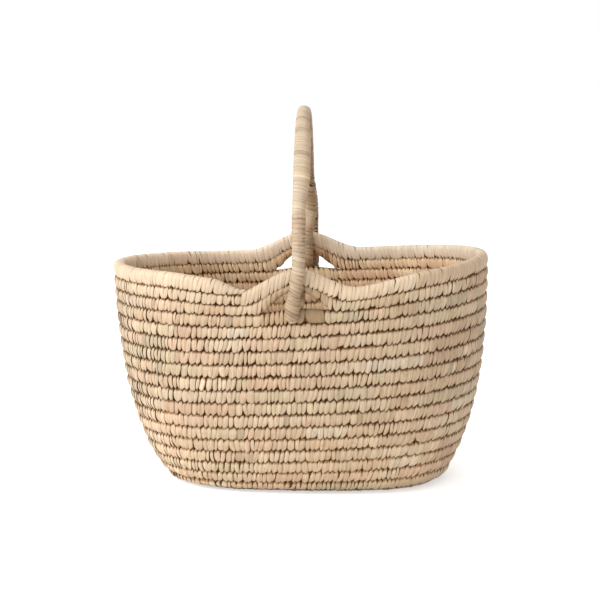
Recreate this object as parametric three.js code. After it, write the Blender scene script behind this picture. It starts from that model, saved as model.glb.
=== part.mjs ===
// Swing handle basket: one long coil sewn into an oval bowl, and a wrapped handle hooped from slot to slot.
// Millimetres, +Z up, +X to the right end, +Y to the back, from the middle of the base on the floor.
import * as THREE from "three";

// Sizes of the coil
const pitch = 14.07;
const coilThickness = 12;
const coilFlat = 6.8;
const sideFlatShare = 0.4;
const startBevel = 2;
const touch = 0.3;
const wallRounds = 17;
const baseRounds = 5;

// Sizes of the oval: the rounds run parallel to a slim ellipse in the middle of the base
const coreHalfLength = 71.4;
const coreHalfDepth = 8.8;
const startReach = 0.6;
const heelSlope = THREE.MathUtils.degToRad(35.5);
const rimSlope = THREE.MathUtils.degToRad(-4.5);
const slopeFade = 8.25;
const heelBendStart = -0.44;
const heelBendEnd = 0.68;

// How the hand-made bowl leans: to the left, with its right end high and its long sides low
const leanLeft = 7.2;
const rightEndRise = 9.1;
const endRise = 4;
const lateTiltShare = 0.7;

// How the sewing pulls the upper rounds down, by levels: all along the back, and beside the slot in front
const pullLevels = [13, 14, 15, 16, 17];
const pullDepths = [0, 1.5, 3.5, 7.5, 10.5];
const pullNear = 55;
const pullFar = 140;
const pullEndShare = 0.25;
const pullBackShare = 0.75;

// The seam where the rounds begin, left of the front slot, and the tapered end of the rim there
const seamLeft = 50;
const taperRun = 34;
const taperTipShare = 0.28;
const tipThicknessShare = 0.5;

// The arch in the middle of each long side, at the slot's top, between its two coils and at the rim
const archRises = [19.5, 12.5, 12.8];
const archHalfWidths = [43, 57, 66];

// Sizes of the handle
const handleLeft = 3.4;
const handleTop = 401.8;
const legWidth = 12.6;
const legDepth = 11;
const strandWidth = 11;
const strandDepth = 10;
const tailDepth = 9;
const wrapThickness = 1.1;
const bindingSpare = 1.1;
const swingClearance = 0.8;
const innerClearance = 2;
const strandBend = 7;
const tongueDrop = 17;
const tongueShares = [[1, 0.55], [0.93, 0.85], [0.8, 1.02], [0.66, 1]];
const tongueDrift = 7.2;
const tongueDriftTop = 42;
const backDrift = 4.5;
const backDriftTop = 105;
const backDriftEnd = 55;
const hoopSpring = 30;
const crossClearance = 4;
const crotchRise = 63;
const crotchShares = [0.35, 0.6, 0.8];
const tailRise = 93;
const tailShow = 2;
const hoopFuller = 4;
const fullerRises = [tailRise, 128, 158, 186];
const wrapUp = 9;
const wrapDown = 11;

// Steps of the meshes
const turnSteps = 40;
const archRefine = 3;
const archReach = 98;
const sideCount = 8;
const hoopSteps = 22;
const bendSteps = 4;
const tailSteps = 4;
const bindingSides = 6;

const halfThickness = coilThickness / 2;
const halfFlat = coilFlat / 2;
const sillLevel = wallRounds - 2;
const archLevels = [sillLevel, sillLevel + 1, sillLevel + 2];
const frontAngle = -Math.PI / 2;
const backAngle = Math.PI / 2;

const mix = (from, to, share) => from + (to - from) * share;
const clampShare = (share) => Math.min(1, Math.max(0, share));

function ease(value, start, end) {
  const share = clampShare((value - start) / (end - start));
  return share * share * (3 - 2 * share);
}

function hump(x, halfWidth) {
  if (Math.abs(x) >= halfWidth) return 0;
  return Math.cos((Math.PI * x) / (2 * halfWidth)) ** 2;
}

// The meridian: how the middle of the coil runs from the base, round the heel and up the wall.
// A level counts rounds from the heel, so that the wall's rounds begin at level 0.
function slopeAt(level) {
  const wall = mix(rimSlope, heelSlope, Math.exp(-Math.max(level, 0) / slopeFade));
  return mix(Math.PI / 2, wall, ease(level, heelBendStart, heelBendEnd));
}

const meridianStep = 0.05;
const meridianPoints = [];

function traceMeridian() {
  let reach = startReach;
  let height = halfThickness;
  for (let level = -baseRounds; level < wallRounds + 2; level += meridianStep) {
    meridianPoints.push({ reach, height });
    const slope = slopeAt(level + meridianStep / 2);
    reach += Math.sin(slope) * pitch * meridianStep;
    height += Math.cos(slope) * pitch * meridianStep;
  }
}

traceMeridian();

function meridian(level) {
  const place = (level + baseRounds) / meridianStep;
  const index = Math.min(meridianPoints.length - 2, Math.max(0, Math.floor(place)));
  const before = meridianPoints[index];
  const after = meridianPoints[index + 1];
  const reach = mix(before.reach, after.reach, place - index);
  const height = mix(before.height, after.height, place - index);
  return { reach, height, slope: slopeAt(level) };
}

// The plan: a point at the angle of its outward normal, at a reach from the core ellipse
function planPoint(angle, reach) {
  const cosine = Math.cos(angle);
  const sine = Math.sin(angle);
  const support = Math.hypot(coreHalfLength * cosine, coreHalfDepth * sine);
  const x = (coreHalfLength ** 2 / support + reach) * cosine;
  const y = (coreHalfDepth ** 2 / support + reach) * sine;
  return { x, y };
}

const bowlHeight = meridian(wallRounds).height;

function settle(x, y, z, reach) {
  const rise = z / bowlHeight;
  const along = x / (coreHalfLength + reach);
  const early = clampShare((z - halfThickness) / (2 * coilThickness));
  const tilt = rightEndRise * along * mix(early, rise, lateTiltShare);
  const saddle = endRise * (2 * along * along - 1) * rise * Math.min(1, rise);
  return new THREE.Vector3(x - leanLeft * rise, y, z + tilt + saddle);
}

function onBowl(angle, reach, height) {
  const { x, y } = planPoint(angle, reach);
  return settle(x, y, height, reach);
}

// The stations of one turn, at equal steps along a middle round, counted from the seam
const turnRuns = [];
const runSamples = 2880;

function traceTurn() {
  const middleReach = meridian(wallRounds / 2).reach;
  let before = planPoint(frontAngle, middleReach);
  let run = 0;
  turnRuns.push(run);
  for (let i = 1; i <= runSamples; i += 1) {
    const here = planPoint(frontAngle + (2 * Math.PI * i) / runSamples, middleReach);
    run += Math.hypot(here.x - before.x, here.y - before.y);
    turnRuns.push(run);
    before = here;
  }
}

traceTurn();

const turnLength = turnRuns[runSamples];

function stationAt(share) {
  const run = (((share * turnLength - seamLeft) % turnLength) + turnLength) % turnLength;
  let low = 0;
  let high = runSamples;
  while (high - low > 1) {
    const middle = (low + high) >> 1;
    if (turnRuns[middle] > run) high = middle;
    else low = middle;
  }
  const part = (run - turnRuns[low]) / (turnRuns[high] - turnRuns[low]);
  return { share, angle: frontAngle + (2 * Math.PI * (low + part)) / runSamples };
}

function stations(steps, refine) {
  const list = [];
  for (let i = 0; i < steps; i += 1) {
    const station = stationAt(i / steps);
    const { x } = planPoint(station.angle, meridian(wallRounds).reach);
    const parts = Math.abs(x) < archReach ? refine : 1;
    for (let j = 0; j < parts; j += 1) list.push(stationAt((i + j / parts) / steps));
  }
  list.push(stationAt(1));
  return list;
}

// A value from a list of values at levels, with straight lines between
function readAt(level, levels, values) {
  const last = levels.length - 1;
  for (let i = 0; i < last; i += 1) {
    if (level < levels[i + 1]) {
      const share = clampShare((level - levels[i]) / (levels[i + 1] - levels[i]));
      return mix(values[i], values[i + 1], share);
    }
  }
  return values[last];
}

// How far down the sewing pulls the coil at a place
function pull(level, x, y, reach) {
  const back = (1 + y / (coreHalfDepth + reach)) / 2;
  const front = mix(1, pullEndShare, ease(Math.abs(x), pullNear, pullFar));
  const depth = readAt(level, pullLevels, pullDepths);
  return depth * mix(front, pullBackShare, back);
}

// The edge of a round: where it meets the next one, pulled down by the sewing or lifted over the slot
function edge(level, station, overSlot) {
  const place = meridian(level + station.share);
  const { x, y } = planPoint(station.angle, place.reach);
  const arch = hump(x, readAt(level, archLevels, archHalfWidths));
  const pulled = pull(level + station.share, x, y, place.reach) * (1 - arch);
  const moved = meridian(level + station.share - pulled / pitch);
  const lift = overSlot ? readAt(level, archLevels, archRises) * arch : 0;
  moved.reach += lift * Math.sin(moved.slope);
  moved.height += lift * Math.cos(moved.slope);
  return moved;
}

function coilHeight(round, share) {
  if (round < wallRounds - 1) return 1;
  const taperStart = 1 - taperRun / turnLength;
  return mix(1, taperTipShare, ease(share, taperStart, 1));
}

// One section of the coil: flat where it meets its neighbours, rounded towards the outside and inside
function coilSection(round, station) {
  const overSlot = round >= sillLevel;
  const tall = coilHeight(round, station.share);
  const low = edge(round, station, overSlot);
  const middle = edge(round + tall / 2, station, overSlot);
  const high = edge(round + tall, station, overSlot);
  const stout = mix(tipThicknessShare, 1, tall);
  const bulge = (sideFlatShare / 2) * Math.hypot(high.reach - low.reach, high.height - low.height);
  const point = (place, out, up) => {
    const reach = place.reach + out * Math.cos(place.slope) + up * Math.sin(place.slope);
    const height = place.height - out * Math.sin(place.slope) + up * Math.cos(place.slope);
    return onBowl(station.angle, reach, Math.max(0, height));
  };
  return [
    point(low, halfFlat * stout, touch / 2),
    point(middle, halfThickness * stout, -bulge),
    point(middle, halfThickness * stout, bulge),
    point(high, halfFlat * stout, -touch / 2),
    point(high, -halfFlat * stout, -touch / 2),
    point(middle, -halfThickness * stout, 0),
    point(low, -halfFlat * stout, touch / 2),
  ];
}

// A closed solid through rings of points, or, with inner rings too, a sleeve
function closedMesh(name, material, positions, faces) {
  const geometry = new THREE.BufferGeometry();
  geometry.setAttribute("position", new THREE.Float32BufferAttribute(positions, 3));
  geometry.setIndex(facingOut(positions, faces));
  geometry.computeVertexNormals();
  const mesh = new THREE.Mesh(geometry, material());
  mesh.name = name;
  return mesh;
}

function facingOut(positions, faces) {
  const corner = (i) => new THREE.Vector3().fromArray(positions, 3 * i);
  let volume = 0;
  for (let i = 0; i < faces.length; i += 3) {
    const normal = corner(faces[i + 1]).cross(corner(faces[i + 2]));
    volume += corner(faces[i]).dot(normal);
  }
  if (volume > 0) return faces;
  return faces.slice().reverse();
}

function bandFaces(faces, first, second, count) {
  for (let i = 0; i < count; i += 1) {
    const next = (i + 1) % count;
    faces.push(first + i, first + next, second + next);
    faces.push(first + i, second + next, second + i);
  }
}

function loft(name, material, rings) {
  const count = rings[0].length;
  const positions = rings.flat().flatMap((point) => point.toArray());
  const faces = [];
  for (let i = 0; i + 1 < rings.length; i += 1) bandFaces(faces, i * count, (i + 1) * count, count);
  const last = (rings.length - 1) * count;
  for (let i = 1; i + 1 < count; i += 1) {
    faces.push(0, i + 1, i);
    faces.push(last, last + i, last + i + 1);
  }
  return closedMesh(name, material, positions, faces);
}

function sleeve(name, material, outerRings, innerRings) {
  const count = outerRings[0].length;
  const loop = [...outerRings, ...innerRings.slice().reverse()];
  const positions = loop.flat().flatMap((point) => point.toArray());
  const faces = [];
  for (let i = 0; i < loop.length; i += 1) {
    const next = (i + 1) % loop.length;
    bandFaces(faces, i * count, next * count, count);
  }
  return closedMesh(name, material, positions, faces);
}

// Materials
const straw = () => new THREE.MeshStandardMaterial({ color: 0xd8bf98, roughness: 0.85 });
const paleStraw = () => new THREE.MeshStandardMaterial({ color: 0xe6d6b4, roughness: 0.8 });
const wrap = () => new THREE.MeshStandardMaterial({ color: 0xcfae86, roughness: 0.8 });

// The rounds of the coil, each cut from the next at the seam
function coilRound(name, round, steps, refine, material) {
  const list = stations(steps, refine);
  const cut = touch / 2 / turnLength;
  list[0] = stationAt(cut);
  list[list.length - 1] = stationAt(1 - cut);
  return loft(name, material, list.map((station) => coilSection(round, station)));
}

// The start of the coil: a straight bundle that the first round of the base is wound on
function baseStart() {
  const levels = [0, startBevel, coilThickness - startBevel, coilThickness];
  const rings = levels.map((height) => {
    const inward = height > 0 && height < coilThickness ? 0 : startBevel;
    return stations(turnSteps / 2, 1).map((station) => {
      const reach = meridian(station.share - baseRounds).reach - touch / 2;
      return onBowl(station.angle, Math.max(reach / 2, reach - inward), height);
    });
  });
  return loft("base_start", straw, rings);
}

// Where the handle hangs: the sill of each slot and the wall beside it
function slotPlace(side) {
  const angle = side < 0 ? frontAngle : backAngle;
  const share = (seamLeft / turnLength + (side < 0 ? 0 : 0.5)) % 1;
  const sill = meridian(sillLevel + share);
  const top = onBowl(angle, sill.reach, sill.height).z;
  const wall = coreHalfDepth + meridian(sillLevel + share + 0.5).reach;
  const rimTop = edge(wallRounds, { share, angle }, true);
  const pivot = top + touch + strandDepth / 2;
  return { side, wall, pivot, archTop: onBowl(angle, rimTop.reach, rimTop.height).z };
}

const frontSlot = slotPlace(-1);
const backSlot = slotPlace(1);

// An oval ring across a path that runs in the plane of the hoop
function ovalRing(centre, along, halfWide, halfDeep) {
  const across = new THREE.Vector3(1, 0, 0);
  const outward = new THREE.Vector3().crossVectors(along, across).normalize();
  return Array.from({ length: sideCount }, (_, i) => {
    const angle = (2 * Math.PI * (i + 0.5)) / sideCount;
    const point = centre.clone().addScaledVector(across, halfWide * Math.cos(angle));
    return point.addScaledVector(outward, halfDeep * Math.sin(angle));
  });
}

function pathRings(places) {
  return places.map((place, i) => {
    const before = places[Math.max(0, i - 1)].centre;
    const after = places[Math.min(places.length - 1, i + 1)].centre;
    const along = after.clone().sub(before);
    along.x = 0;
    return ovalRing(place.centre, along, place.halfWide, place.halfDeep);
  });
}

const legOut = (slot) => slot.wall + halfThickness + swingClearance + touch + wrapThickness + legDepth / 2;
const hoopHalf = (legOut(frontSlot) + legOut(backSlot)) / 2;
const hoopFoot = (frontSlot.pivot + backSlot.pivot) / 2 + hoopSpring;
const hoopRise = handleTop - legDepth / 2 - hoopFoot;

// How much wider the bundle is between the strand's end and the top of the hoop
function fullness(slot, z) {
  const [from, full, fade, end] = fullerRises;
  const rise = z - slot.pivot;
  return hoopFuller * (ease(rise, from, full) - ease(rise, fade, end));
}

// How the handle wanders, as the photograph shows it: its front foot to the left, its back leg to the right
function handleX(slot, z) {
  const up = z - slot.pivot;
  const middle = -handleLeft - (slot.side * fullness(slot, z)) / 2;
  if (slot.side > 0) return middle + backDrift * ease(-up, -backDriftTop, -backDriftEnd);
  return middle - tongueDrift * ease(-up, -tongueDriftTop, tongueDrop);
}

function legPlace(slot, z, share) {
  const centre = new THREE.Vector3(handleX(slot, z), slot.side * legOut(slot), z);
  return { centre, halfWide: (legWidth / 2) * share, halfDeep: (legDepth / 2) * share };
}

// The middle of the handle's bundle at a height on one side: the leg, and then the hoop
function bundleAt(slot, z) {
  if (z <= hoopFoot) return legPlace(slot, z, 1);
  const up = (z - hoopFoot) / hoopRise;
  const y = slot.side * hoopHalf * Math.sqrt(1 - up * up);
  const centre = new THREE.Vector3(handleX(slot, z), y, z);
  return { centre, halfWide: (legWidth + fullness(slot, z)) / 2, halfDeep: legDepth / 2 };
}

// How the bundle runs at a height, and the middle of what lies behind it, a distance inwards
function bundleRun(slot, z) {
  const below = bundleAt(slot, z - touch).centre;
  const above = bundleAt(slot, z + touch).centre;
  return above.sub(below).normalize();
}

function behindBundle(slot, z, distance) {
  const run = bundleRun(slot, z);
  const inward = new THREE.Vector3(0, -slot.side * run.z, slot.side * run.y);
  return bundleAt(slot, z).centre.addScaledVector(inward, distance);
}

function handleBundle() {
  const tongue = (slot) => [
    ...tongueShares.map(([drop, size]) => legPlace(slot, slot.pivot - tongueDrop * drop, size)),
    legPlace(slot, slot.pivot + wrapUp, 1),
  ];
  const arc = [];
  for (let i = 0; i <= hoopSteps; i += 1) {
    const angle = (Math.PI * i) / hoopSteps;
    const y = -hoopHalf * Math.cos(angle);
    const z = hoopFoot + hoopRise * Math.sin(angle);
    const slot = y < 0 ? frontSlot : backSlot;
    const centre = new THREE.Vector3(handleX(slot, z), y, z);
    arc.push({ centre, halfWide: (legWidth + fullness(slot, z)) / 2, halfDeep: legDepth / 2 });
  }
  const places = [...tongue(frontSlot), ...arc, ...tongue(backSlot).reverse()];
  return loft("handle_bundle", paleStraw, pathRings(places));
}

const apart = legDepth / 2 + tailDepth / 2 + touch;

// The return strand: in through the slot on the hinge's line, up inside the wall and back to the leg
function strandPlaces(slot) {
  const side = slot.side;
  const outerEnd = legOut(slot) - legDepth / 2 - 2 * touch - wrapThickness;
  const inner = slot.wall - halfThickness - innerClearance - tailDepth / 2;
  const at = (x, y, z, halfWide, halfDeep) => ({
    centre: new THREE.Vector3(x, side * y, z),
    halfWide,
    halfDeep,
  });
  const round = strandDepth / 2;
  const places = [at(-handleLeft, outerEnd, slot.pivot, round, round)];
  for (let i = 0; i <= bendSteps; i += 1) {
    const turned = i / bendSteps;
    const angle = (Math.PI * turned) / 2;
    const y = inner + strandBend - strandBend * Math.sin(angle);
    const z = slot.pivot + strandBend - strandBend * Math.cos(angle);
    const halfWide = mix(round, strandWidth / 2, turned);
    places.push(at(-handleLeft, y, z, halfWide, mix(round, tailDepth / 2, turned)));
  }
  const rises = crotchShares.map((share) => mix(strandBend, crotchRise, share));
  for (let i = 0; i <= tailSteps; i += 1) rises.push(mix(crotchRise, tailRise, i / tailSteps));
  for (const rise of rises) {
    const z = slot.pivot + rise;
    const lean = ease(z, slot.archTop + crossClearance, slot.pivot + crotchRise);
    const beside = behindBundle(slot, z, apart);
    const x = mix(-handleLeft, beside.x, lean);
    const y = mix(inner, side * beside.y, lean);
    places.push(at(x, y, mix(z, beside.z, lean), strandWidth / 2, tailDepth / 2));
  }
  return places;
}

function returnStrand(name, slot) {
  return loft(name, paleStraw, pathRings(strandPlaces(slot)));
}

// The binding that sews the strand's tail to the leg: a sleeve round both
function bindingRing(slot, z, spare) {
  const across = new THREE.Vector3(1, 0, 0);
  const leg = bundleAt(slot, z).centre;
  const tail = behindBundle(slot, z, apart);
  const outward = leg.clone().sub(tail).normalize();
  const ring = [];
  for (let i = 0; i < 2 * bindingSides; i += 1) {
    const onLeg = i < bindingSides;
    const angle = (Math.PI * (onLeg ? i : i - 1)) / (bindingSides - 1);
    const halfWide = spare + (onLeg ? legWidth : strandWidth) / 2;
    const halfDeep = spare + (onLeg ? legDepth : tailDepth) / 2;
    const point = (onLeg ? leg : tail).clone().addScaledVector(across, halfWide * Math.cos(angle));
    ring.push(point.addScaledVector(outward, halfDeep * Math.sin(angle)));
  }
  return ring;
}

function legBinding(name, slot) {
  const levels = [];
  for (let i = 0; i <= tailSteps; i += 1) {
    levels.push(slot.pivot + mix(crotchRise, tailRise - tailShow, i / tailSteps));
  }
  const outer = levels.map((z) => bindingRing(slot, z, bindingSpare + wrapThickness));
  const inner = levels.map((z) => bindingRing(slot, z, bindingSpare));
  return sleeve(name, wrap, outer, inner);
}

// The wrap round the leg's foot, which the strand's outer end is sewn to
function footWrap(name, slot) {
  const levels = [-wrapDown, 0, wrapUp].map((rise) => slot.pivot + rise);
  const ring = (z, spare) => {
    const { centre } = legPlace(slot, z, 1);
    const along = new THREE.Vector3(0, 0, 1);
    return ovalRing(centre, along, legWidth / 2 + spare, legDepth / 2 + spare);
  };
  const outer = levels.map((z) => ring(z, touch + wrapThickness));
  const inner = levels.map((z) => ring(z, touch));
  return sleeve(name, wrap, outer, inner);
}

// The whole basket
const group = new THREE.Group();
group.name = "swing_handle_basket";
group.add(baseStart());

for (let i = 0; i < baseRounds; i += 1) {
  const steps = i < baseRounds - 2 ? turnSteps / 2 : turnSteps;
  group.add(coilRound(`base_round_${i + 1}`, i - baseRounds, steps, 1, straw));
}

for (let i = 0; i < sillLevel; i += 1) {
  const number = String(i + 1).padStart(2, "0");
  const refine = i < sillLevel - 1 ? 1 : archRefine;
  group.add(coilRound(`wall_round_${number}`, i, turnSteps, refine, straw));
}

group.add(coilRound("slot_round", sillLevel, turnSteps, archRefine, straw));
group.add(coilRound("rim_round", wallRounds - 1, turnSteps, archRefine, paleStraw));

group.add(handleBundle());
group.add(returnStrand("front_strand", frontSlot));
group.add(returnStrand("back_strand", backSlot));
group.add(legBinding("front_binding", frontSlot));
group.add(legBinding("back_binding", backSlot));
group.add(footWrap("front_foot_wrap", frontSlot));
group.add(footWrap("back_foot_wrap", backSlot));

for (const slot of [frontSlot, backSlot]) {
  const place = [-handleLeft, slot.side * slot.wall, slot.pivot];
  console.log("the hinge passes through", place.map((value) => value.toFixed(2)).join(", "));
}

export default group;
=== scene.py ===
import math

import bpy
import numpy as np
from mathutils import Matrix, Vector


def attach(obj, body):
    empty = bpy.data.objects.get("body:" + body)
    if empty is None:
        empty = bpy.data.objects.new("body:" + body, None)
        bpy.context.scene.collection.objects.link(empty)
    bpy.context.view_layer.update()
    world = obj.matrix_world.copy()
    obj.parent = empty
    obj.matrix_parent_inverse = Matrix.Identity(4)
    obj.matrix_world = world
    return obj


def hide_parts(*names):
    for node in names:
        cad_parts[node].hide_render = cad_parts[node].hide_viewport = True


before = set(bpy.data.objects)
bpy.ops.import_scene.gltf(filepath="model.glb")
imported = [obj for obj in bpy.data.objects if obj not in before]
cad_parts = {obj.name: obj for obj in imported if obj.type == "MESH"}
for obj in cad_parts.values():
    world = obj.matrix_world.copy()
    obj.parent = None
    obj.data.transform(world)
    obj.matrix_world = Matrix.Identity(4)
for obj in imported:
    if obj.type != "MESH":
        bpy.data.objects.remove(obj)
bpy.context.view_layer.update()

# The photograph's camera: its direction, distance and lens, and the point it looks at

AZIMUTH = math.radians(2.3243)
ELEVATION = math.radians(8.9617)
DISTANCE = 2.05293
SENSOR = 36
LENS = 1901.52 / 600 * SENSOR
LOOK = Vector((-0.00766, 0.0, 0.1927))


def add_object(name, data):
    made = bpy.data.objects.new(name, data)
    bpy.context.scene.collection.objects.link(made)
    return made


def make_camera():
    data = bpy.data.cameras.new("camera")
    data.sensor_fit = "HORIZONTAL"
    data.sensor_width = SENSOR
    data.lens = LENS
    data.clip_end = 100
    camera = add_object("camera", data)
    level = Vector((math.sin(AZIMUTH), -math.cos(AZIMUTH), 0.0)) * math.cos(ELEVATION)
    back = level + Vector((0.0, 0.0, math.sin(ELEVATION)))
    right = Vector((math.cos(AZIMUTH), math.sin(AZIMUTH), 0.0))
    up = back.cross(right)
    turn = Matrix((right, up, back)).transposed().to_4x4()
    camera.matrix_world = Matrix.Translation(LOOK + DISTANCE * back) @ turn
    bpy.context.scene.camera = camera


make_camera()
bpy.context.scene.view_settings.view_transform = "Standard"

# The sizes of the coil and the handle, as in the CAD source, in millimetres

PITCH = 14.07
COIL_THICKNESS = 12.0
WALL_ROUNDS = 17
BASE_ROUNDS = 5
CORE_LENGTH = 71.4
CORE_DEPTH = 8.8
START_REACH = 0.6
HEEL_SLOPE = math.radians(35.5)
RIM_SLOPE = math.radians(-4.5)
SLOPE_FADE = 8.25
HEEL_BEND = (-0.44, 0.68)
LEAN_LEFT = 7.2
RIGHT_RISE = 9.1
END_RISE = 4.0
LATE_TILT = 0.7
SEAM_LEFT = 50.0
TAPER_RUN = 34.0
TAPER_TIP = 0.28
TIP_THICKNESS = 0.5
PULL_LEVELS = (13, 14, 15, 16, 17)
PULL_DEPTHS = (0, 1.5, 3.5, 7.5, 10.5)
PULL_RUN = (55.0, 140.0)
PULL_END = 0.25
PULL_BACK = 0.75
SILL_LEVEL = WALL_ROUNDS - 2
ARCH_LEVELS = (SILL_LEVEL, SILL_LEVEL + 1, SILL_LEVEL + 2)
ARCH_RISES = (19.5, 12.5, 12.8)
ARCH_HALF_WIDTHS = (43.0, 57.0, 66.0)
HALF = COIL_THICKNESS / 2

HANDLE_X = -3.4
HANDLE_TOP = 401.8
LEG_WIDTH = 12.6
LEG_DEPTH = 11.0
STRAND_WIDTH = 11.0
STRAND_DEPTH = 10.0
TAIL_DEPTH = 9.0
WRAP = 1.1
SWING = 0.8
INNER = 2.0
BEND = 7.0
TONGUE_DROP = 17.0
TONGUE_DRIFT = 7.2
TONGUE_DRIFT_TOP = 42.0
BACK_DRIFT = 4.5
BACK_DRIFT_TOP = 105.0
BACK_DRIFT_END = 55.0
HOOP_SPRING = 30.0
CROSS_CLEARANCE = 4.0
CROTCH_RISE = 63.0
TAIL_RISE = 93.0
FULLER = 4.0
FULLER_RISES = (TAIL_RISE, 128.0, 158.0, 186.0)
TOUCH = 0.3


def mix(a, b, share):
    return a + (b - a) * share


def ease(value, start, end):
    share = np.clip((value - start) / (end - start), 0, 1)
    return share * share * (3 - 2 * share)


def hump(x, half):
    return np.where(np.abs(x) < half, np.cos(np.pi * x / (2 * half)) ** 2, 0.0)


def stack(*arrays):
    """Arrays that broadcast to one shape, side by side in a last axis."""
    return np.stack(np.broadcast_arrays(*arrays), axis=-1)


def look_up(run, runs, table):
    """The values at a run of a table, or of each column of a table of points."""
    if table.ndim == 1:
        return np.interp(run, runs, table)
    return stack(*(np.interp(run, runs, column) for column in table.T))


def running(values):
    """The running sum of values, from 0."""
    return np.concatenate([[0], np.cumsum(values)])


def lengths_along(points):
    return running(np.linalg.norm(np.diff(points, axis=0), axis=1))


def ring(number):
    return np.linspace(0, 2 * np.pi, number, endpoint=False)


def squared(angles, power):
    """The points of an ellipse with fuller corners, as (across, up)."""
    circle = stack(np.cos(angles), np.sin(angles))
    return np.sign(circle) * np.abs(circle) ** (2 / power)


def slope_at(level):
    wall = mix(RIM_SLOPE, HEEL_SLOPE, np.exp(-np.maximum(level, 0) / SLOPE_FADE))
    return mix(np.pi / 2, wall, ease(level, *HEEL_BEND))


LEVEL_STEP = 0.05
level_table = np.arange(-BASE_ROUNDS, WALL_ROUNDS + 2, LEVEL_STEP)
steps = slope_at(level_table + LEVEL_STEP / 2)
reach_table = START_REACH + running(np.sin(steps[:-1])) * PITCH * LEVEL_STEP
height_table = HALF + running(np.cos(steps[:-1])) * PITCH * LEVEL_STEP


def meridian(level):
    reach = np.interp(level, level_table, reach_table)
    height = np.interp(level, level_table, height_table)
    return reach, height, slope_at(level)


BOWL_HEIGHT = float(meridian(WALL_ROUNDS)[1])


def plan_point(angle, reach):
    cosine = np.cos(angle)
    sine = np.sin(angle)
    support = np.hypot(CORE_LENGTH * cosine, CORE_DEPTH * sine)
    x = (CORE_LENGTH**2 / support + reach) * cosine
    y = (CORE_DEPTH**2 / support + reach) * sine
    return x, y


def on_bowl(angle, reach, height):
    x, y = plan_point(angle, reach)
    rise = height / BOWL_HEIGHT
    along = x / (CORE_LENGTH + reach)
    early = np.clip((height - HALF) / (2 * COIL_THICKNESS), 0, 1)
    tilt = RIGHT_RISE * along * mix(early, rise, LATE_TILT)
    saddle = END_RISE * (2 * along * along - 1) * rise * np.minimum(1, rise)
    return stack(x - LEAN_LEFT * rise, y, height + tilt + saddle)


turn_angles = -np.pi / 2 + np.linspace(0, 2 * np.pi, 2881)
turn_x, turn_y = plan_point(turn_angles, float(meridian(WALL_ROUNDS / 2)[0]))
turn_runs = running(np.hypot(np.diff(turn_x), np.diff(turn_y)))
TURN = float(turn_runs[-1])


def station_angle(share):
    run = np.mod(share * TURN - SEAM_LEFT, TURN)
    return np.interp(run, turn_runs, turn_angles)


def pull(level, x, y, reach):
    """How far down the sewing pulls the coil at a place."""
    back = (1 + y / (CORE_DEPTH + reach)) / 2
    front = mix(1, PULL_END, ease(np.abs(x), *PULL_RUN))
    depth = np.interp(level, PULL_LEVELS, PULL_DEPTHS)
    return depth * mix(front, PULL_BACK, back)


def edge(level, share, angle, over_slot):
    """Where a round meets the next one, pulled down by the sewing or lifted over the slot."""
    reach = meridian(level + share)[0]
    x, y = plan_point(angle, reach)
    arch = hump(x, np.interp(level, ARCH_LEVELS, ARCH_HALF_WIDTHS))
    pulled = pull(level + share, x, y, reach) * (1 - arch)
    reach, height, slope = meridian(level + share - pulled / PITCH)
    lift = np.interp(level, ARCH_LEVELS, ARCH_RISES) * arch if over_slot else 0.0
    return reach + lift * np.sin(slope), height + lift * np.cos(slope), slope


# How far a round's tables go past the seam, and the share of a turn that holds the front right of it
PAST_SEAM = 0.012
FRONT_SHARE = 0.25
COIL_SAMPLES = 1600
# How soon the stitches go right round over a slot
OPENING = 3


class Coil:
    """One round of the coil: its middle, its half axes and its run, as tables over the turn."""

    def __init__(self, index):
        self.index = index
        share = np.linspace(-PAST_SEAM, 1 + PAST_SEAM, COIL_SAMPLES)
        angle = station_angle(share)
        tall = np.ones(COIL_SAMPLES)
        if index == WALL_ROUNDS - 1:
            tall = mix(1, TAPER_TIP, ease(share, 1 - TAPER_RUN / TURN, 1))
        low, middle, high = (
            edge(index + part, share, angle, index >= SILL_LEVEL) for part in (0, tall / 2, tall)
        )
        stout = mix(TIP_THICKNESS, 1, tall)
        reach, height, slope = middle
        self.centre = on_bowl(angle, reach, height)
        out_reach = reach + HALF * stout * np.cos(slope)
        out_height = height - HALF * stout * np.sin(slope)
        self.out = on_bowl(angle, out_reach, np.maximum(out_height, 0)) - self.centre
        self.up = on_bowl(angle, *high[:2]) - self.centre
        self.down = self.centre - on_bowl(angle, *low[:2])
        run = lengths_along(self.centre)
        self.run = run - np.interp(0, share, run)
        self.length = float(np.interp(1, share, self.run))
        open_slot = np.clip(hump(plan_point(angle, reach)[0], ARCH_HALF_WIDTHS[0]) * OPENING, 0, 1)
        self.free = open_slot * (index == SILL_LEVEL)
        self.bare = open_slot * (index == SILL_LEVEL - 1)
        self.share = share

    def run_at(self, x):
        """The run at which the coil passes a place on the front, right of the seam."""
        front = (self.centre[:, 1] < 0) & (self.share < FRONT_SHARE)
        return float(self.run[np.argmin(np.where(front, np.abs(self.centre[:, 0] - x), np.inf))])

    def sample(self, table, run):
        return look_up(run, self.run, table)

    def place(self, run, across, up):
        """Points at a run along the coil, and at shares of its half axes outwards and upwards."""
        rise = np.where(up > 0, 1.0, 0.0)[..., None]
        vertical = self.sample(self.up, run) * rise + self.sample(self.down, run) * (1 - rise)
        outward = self.sample(self.out, run) * across[..., None]
        return self.sample(self.centre, run) + outward + vertical * up[..., None]


# Meshes from grids of points

MILLIMETRE = 0.001
# How far the fibres' pattern spreads round a core or a wound strip
STEM_SPREAD = 6.0


def flat(values, kind=np.float32):
    return values.astype(kind).ravel()


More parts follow.
